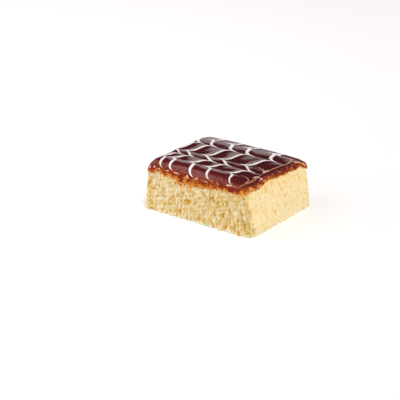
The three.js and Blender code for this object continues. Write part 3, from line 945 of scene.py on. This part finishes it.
def add_cream_line(bm, line):
    """A line of cream that the comb has pulled to and fro."""
    t = line_stations(line)
    shift = comb_shift(line, t)
    slope = np.gradient(shift, t)
    tips = ease(*LINE_START_FADE, t - line_start(line)) * ease(0, LINE_END_FADE, LINE_END - t)
    uneven = 1 + waves((t, 0 * t + line["centre"], 0 * t), "line_breadth")
    broader = mix(1.0, BACK_BREADTH, ease(*BACK_BREADTH_RANGE, t))
    breadth = line["width"] * uneven * broader * tips * (1 + slope ** 2) ** SLANT_BREADTH
    middle = (line["centre"] + line["drift"] * t + shift, t)
    add_strand(bm, middle, (breadth, 0 * t), breadth / np.sqrt(1 + slope ** 2), tips, np.ones_like(t))


def add_smear(bm, smear):
    """A stray dab in the cream's colours that bends from its first place towards its second and ends at its
    third; some are cream and some are painted highlights.
    """
    share = np.linspace(0, 1, SMEAR_STEPS + 1)
    (s0, t0), (s1, t1), (s2, t2) = smear["path"]
    s = (1 - share) ** 2 * s0 + 2 * share * (1 - share) * s1 + share ** 2 * s2
    t = (1 - share) ** 2 * t0 + 2 * share * (1 - share) * t1 + share ** 2 * t2
    way_s, way_t = np.gradient(s), np.gradient(t)
    length = np.hypot(way_s, way_t)
    tips = ease(0, SMEAR_START, share) * ease(0, SMEAR_END, 1 - share)
    points = (s, t, 0 * s)
    uneven = waves(points, "smear_breadth") / (SMEAR_STEADINESS + smear["width"])
    across = smear["width"] * tips * (1 + uneven)
    cover = smear["cover"] * (1 + waves(points, "smear_cover"))
    add_strand(bm, (s, t), (-across * way_t / length, across * way_s / length), across, tips, cover)


def painted_bevel_glints():
    """Painted glints: small pale flecks in the cream's colours on the lower part of the bevel."""
    draw = np.random.default_rng(DAB_SEED)
    dabs = []
    for t in draw.uniform(*DAB_ALONG, BEVEL_PAINTED_GLINTS):
        s = SIDES["cut"]["flat"] + SIDES["cut"]["overhang"] * draw.uniform(*DAB_DOWN)
        turn = draw.uniform(*DAB_TURN)
        half = draw.uniform(*DAB_HALF)
        path = [(s - way * half * math.sin(turn), t - way * half * math.cos(turn)) for way in (1, 0, -1)]
        dabs.append({"path": path, "width": draw.uniform(*DAB_WIDTH), "cover": draw.uniform(*DAB_COVER)})
    return dabs


def make_cream(material):
    """All the cream: the combed lines and the stray dabs, with the painted highlights and glints that are
    drawn as dabs in the cream's colours.
    """
    bm = bmesh.new()
    bm.verts.layers.float.new("cover")
    for line in CREAM_LINES:
        add_cream_line(bm, line)
    for smear in SMEARS_AND_PAINTED_HIGHLIGHTS + painted_bevel_glints():
        add_smear(bm, smear)
    smooth_faces(bm)
    bmesh.ops.recalc_face_normals(bm, faces=bm.faces)
    piece = new_piece("cream_feathering", bm, material)
    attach(piece, "root")
    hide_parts("caramel_glaze")
    return piece


def new_material(name):
    """A material, its node tree and its principled shader."""
    material = bpy.data.materials.new(name)
    material.use_nodes = True
    tree = material.node_tree
    return material, tree, tree.nodes["Principled BSDF"]


def read_attribute(tree, name):
    """The number that a piece keeps under a name."""
    node = tree.nodes.new("ShaderNodeAttribute")
    node.attribute_name = name
    return node.outputs["Fac"]


def colour_ramp(tree, value, stops):
    """Colours along a value, from (place, red, green, blue) stops in linear light."""
    node = tree.nodes.new("ShaderNodeValToRGB")
    ramp = node.color_ramp
    while len(ramp.elements) < len(stops):
        ramp.elements.new(0.5)
    for element, (place, *colour) in zip(ramp.elements, stops):
        element.position = place
        element.color = (*colour, 1.0)
    tree.links.new(value, node.inputs["Fac"])
    return node.outputs["Color"]


def blend_colours(tree, share, first, second):
    """From the first colour at 0 to the second at 1."""
    node = tree.nodes.new("ShaderNodeMix")
    node.data_type = "RGBA"
    tree.links.new(share, node.inputs["Factor"])
    tree.links.new(first, node.inputs[6])
    tree.links.new(second, node.inputs[7])
    return node.outputs[2]


def map_value(tree, value, low, high):
    """A value from 0 to 1 carried to the range from low to high."""
    node = tree.nodes.new("ShaderNodeMapRange")
    node.inputs["To Min"].default_value = low
    node.inputs["To Max"].default_value = high
    tree.links.new(value, node.inputs["Value"])
    return node.outputs["Result"]


def grain_group():
    """Fine unevenness of a food's surface: a tint about 1 and a height, from Object coordinates."""
    group = bpy.data.node_groups.new("food_grain", "ShaderNodeTree")
    for name, start in (("Scale", 900.0), ("Tint", 0.1)):
        socket = group.interface.new_socket(name, in_out="INPUT", socket_type="NodeSocketFloat")
        socket.default_value = start
    for name in ("Brightness", "Height"):
        group.interface.new_socket(name, in_out="OUTPUT", socket_type="NodeSocketFloat")
    inlet = group.nodes.new("NodeGroupInput")
    outlet = group.nodes.new("NodeGroupOutput")
    place = group.nodes.new("ShaderNodeTexCoord")
    noise = group.nodes.new("ShaderNodeTexNoise")
    noise.inputs["Detail"].default_value = GRAIN_DETAIL
    centred = group.nodes.new("ShaderNodeMath")
    centred.operation = "SUBTRACT"
    centred.inputs[1].default_value = 0.5
    tinted = group.nodes.new("ShaderNodeMath")
    tinted.operation = "MULTIPLY_ADD"
    tinted.inputs[2].default_value = 1.0
    group.links.new(place.outputs["Object"], noise.inputs["Vector"])
    group.links.new(inlet.outputs["Scale"], noise.inputs["Scale"])
    group.links.new(noise.outputs["Fac"], centred.inputs[0])
    group.links.new(centred.outputs[0], tinted.inputs[0])
    group.links.new(inlet.outputs["Tint"], tinted.inputs[1])
    group.links.new(tinted.outputs[0], outlet.inputs["Brightness"])
    group.links.new(noise.outputs["Fac"], outlet.inputs["Height"])
    return group


def add_grain(tree, group, values, colour, shader):
    """Gives a material its fine grain: the colour is tinted and the surface gets a bump."""
    grain = tree.nodes.new("ShaderNodeGroup")
    grain.node_tree = group
    grain.inputs["Scale"].default_value = values["scale"]
    grain.inputs["Tint"].default_value = values["tint"]
    scaled = tree.nodes.new("ShaderNodeVectorMath")
    scaled.operation = "SCALE"
    tree.links.new(colour, scaled.inputs[0])
    tree.links.new(grain.outputs["Brightness"], scaled.inputs["Scale"])
    tree.links.new(scaled.outputs["Vector"], shader.inputs["Base Color"])
    bump = tree.nodes.new("ShaderNodeBump")
    bump.inputs["Strength"].default_value = values["strength"]
    bump.inputs["Distance"].default_value = values["depth"]
    tree.links.new(grain.outputs["Height"], bump.inputs["Height"])
    tree.links.new(bump.outputs["Normal"], shader.inputs["Normal"])


def sponge_material(grain):
    """Pale crumb with golden pores, painted shade in its hollows and a painted sheen on its lumps, stained
    and wet where the glaze has soaked in.
    """
    material, tree, shader = new_material("soaked_sponge")
    crumb_tone_and_painted_light = read_attribute(tree, "crumb_tone_and_painted_light")
    soak = read_attribute(tree, "soak")
    cut_face = colour_ramp(tree, crumb_tone_and_painted_light, CUT_CRUMB)
    torn_face = colour_ramp(tree, crumb_tone_and_painted_light, TORN_CRUMB)
    crumb = blend_colours(tree, read_attribute(tree, "torn"), cut_face, torn_face)
    stain = colour_ramp(tree, soak, SOAKED_CRUMB)
    colour = blend_colours(tree, map_value(tree, soak, 0.0, FULL_SOAK), crumb, stain)
    roughness = map_value(tree, soak, DRY_ROUGHNESS, SOAKED_ROUGHNESS)
    tree.links.new(roughness, shader.inputs["Roughness"])
    shader.inputs["Subsurface Weight"].default_value = SPONGE_GLOW
    shader.inputs["Subsurface Radius"].default_value = SPONGE_GLOW_COLOUR
    shader.inputs["Subsurface Scale"].default_value = SPONGE_GLOW_DEPTH
    shader.inputs["Specular IOR Level"].default_value = SPONGE_SPECULAR
    add_grain(tree, grain, SPONGE_GRAIN, colour, shader)
    return material


def glaze_material(grain):
    """Dark caramel that is redder in a film and amber where it is thin, under a glossy coat."""
    material, tree, shader = new_material("caramel_gloss")
    thin = read_attribute(tree, "thin")
    pour = colour_ramp(tree, read_attribute(tree, "film"), POURED_GLAZE)
    lip = colour_ramp(tree, thin, THIN_GLAZE)
    colour = blend_colours(tree, map_value(tree, thin, 0.0, FULL_AMBER), pour, lip)
    tree.links.new(read_attribute(tree, "sheen"), shader.inputs["Coat Weight"])
    shader.inputs["Coat Roughness"].default_value = GLOSS_ROUGHNESS
    shader.inputs["Coat IOR"].default_value = GLOSS_IOR
    shader.inputs["Roughness"].default_value = GLAZE_ROUGHNESS
    shader.inputs["Specular IOR Level"].default_value = 0.0
    add_grain(tree, grain, GLAZE_GRAIN, colour, shader)
    return material


def cream_material(grain):
    """White cream that turns golden where it is drawn out thin; the same colours paint highlights and glints
    on the glaze.
    """
    material, tree, shader = new_material("feathered_cream")
    colour = colour_ramp(tree, read_attribute(tree, "cover"), CREAM)
    shader.inputs["Roughness"].default_value = CREAM_ROUGHNESS
    add_grain(tree, grain, CREAM_GRAIN, colour, shader)
    return material


def make_stage():
    """A plain pale floor."""
    bm = bmesh.new()
    bmesh.ops.create_circle(bm, cap_ends=True, segments=FLOOR_SEGMENTS, radius=FLOOR_RADIUS)
    material, _, shader = new_material("pale_floor")
    shader.inputs["Base Color"].default_value = FLOOR
    shader.inputs["Roughness"].default_value = FLOOR_ROUGHNESS
    floor = new_piece("floor", bm, material)


def make_world():
    """A pale room that is dark higher up, so that the glaze reflects both."""
    world = bpy.data.worlds.new("studio")
    bpy.context.scene.world = world
    world.use_nodes = True
    tree = world.node_tree
    background = tree.nodes["Background"]
    place = tree.nodes.new("ShaderNodeTexCoord")
    parts = tree.nodes.new("ShaderNodeSeparateXYZ")
    tree.links.new(place.outputs["Generated"], parts.inputs["Vector"])
    tree.links.new(colour_ramp(tree, parts.outputs["Z"], ROOM), background.inputs["Color"])
    background.inputs["Strength"].default_value = ROOM_STRENGTH


def aim(item, place, target):
    """Adds a lamp or a camera to the scene at a place, turned to look at a target."""
    item.location = place
    item.rotation_euler = (Vector(target) - Vector(place)).to_track_quat("-Z", "Y").to_euler()
    bpy.context.collection.objects.link(item)


def make_lights():
    """A broad overhead light from the right, a large soft box on the left and a smaller one above it."""
    key = bpy.data.lights.new("key", "SUN")
    key.energy = KEY_LIGHT["power"]
    key.angle = math.radians(KEY_LIGHT["spread"])
    aim(bpy.data.objects.new("key", key), KEY_LIGHT["place"], KEY_LIGHT["target"])
    for box in SOFT_BOXES:
        lamp = bpy.data.lights.new(box["name"], "AREA")
        lamp.shape = "DISK"
        lamp.size = box["size"]
        lamp.color = box["tint"]
        lamp.energy = box["power"]
        aim(bpy.data.objects.new(box["name"], lamp), box["place"], SOFT_BOX_TARGET)


def make_camera():
    """A camera that stands where the photograph was taken from."""
    azimuth = math.radians(CAMERA_AZIMUTH)
    pitch = math.radians(CAMERA_PITCH)
    back = Vector((
        math.sin(azimuth) * math.cos(pitch),
        -math.cos(azimuth) * math.cos(pitch),
        math.sin(pitch),
    ))
    data = bpy.data.cameras.new("camera")
    data.sensor_width = CAMERA_SENSOR
    data.lens = CAMERA_LENS
    data.clip_end = CAMERA_SIGHT * MM
    camera = bpy.data.objects.new("camera", data)
    target = Vector(CAMERA_TARGET) * MM
    aim(camera, target + back * CAMERA_DISTANCE * MM, target)
    bpy.context.scene.camera = camera


make_camera()
grain = grain_group()
make_sponge(sponge_material(grain))
make_glaze(glaze_material(grain))
make_cream(cream_material(grain))
make_stage()
make_world()
make_lights()
bpy.context.scene.view_settings.view_transform = "Standard"
